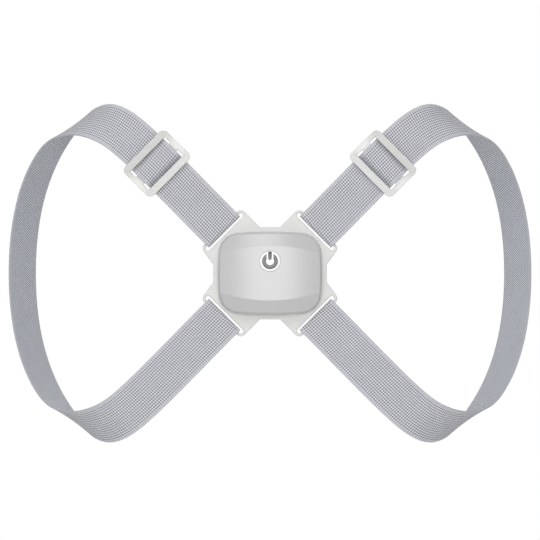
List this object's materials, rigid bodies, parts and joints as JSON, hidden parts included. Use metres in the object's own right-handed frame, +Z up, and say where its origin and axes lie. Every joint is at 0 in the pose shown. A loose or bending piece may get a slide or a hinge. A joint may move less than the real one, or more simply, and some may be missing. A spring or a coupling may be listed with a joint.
{
  "type": "posture corrector",
  "caption": "Figure-of-eight shoulder harness of flat webbing on a slotted back plate with a rounded sensor housing, a push button and three-bar sliders.",
  "frame": {"origin": "middle of the flat pad on the rear of the plate, where it lies on the wearer's spine", "axes": "+X to the wearer's right, +Y into the wearer's back, +Z up; the button faces -Y"},
  "size_m": [0.3652, 0.1167, 0.2309],
  "materials": {
    "plate": "fine matt moulded nylon, pale warm grey",
    "cover": "satin silver-grey moulded plastic",
    "button": "satin white plastic",
    "mark": "dark grey printed and raised symbol",
    "slider": "smooth moulded acetal, pale warm grey",
    "webbing": "ribbed polyester webbing, light bluish grey"
  },
  "bodies": {
    "harness": {"harness_plate": "plate", "housing_cover": "cover", "slider_left": "slider", "slider_right": "slider", "strap_left": "webbing", "strap_right": "webbing"},
    "button": {"power_button": "button", "power_mark_arc": "mark", "power_mark_bar": "mark"}
  },
  "joints": [
    {"name": "button_press", "type": "slide", "parent": "harness", "child": "button", "axis": [0, 1, 0], "range_m": [0, 0.0008], "stiffness_N_per_m": 200, "springref_m": -0.0006}
  ]
}
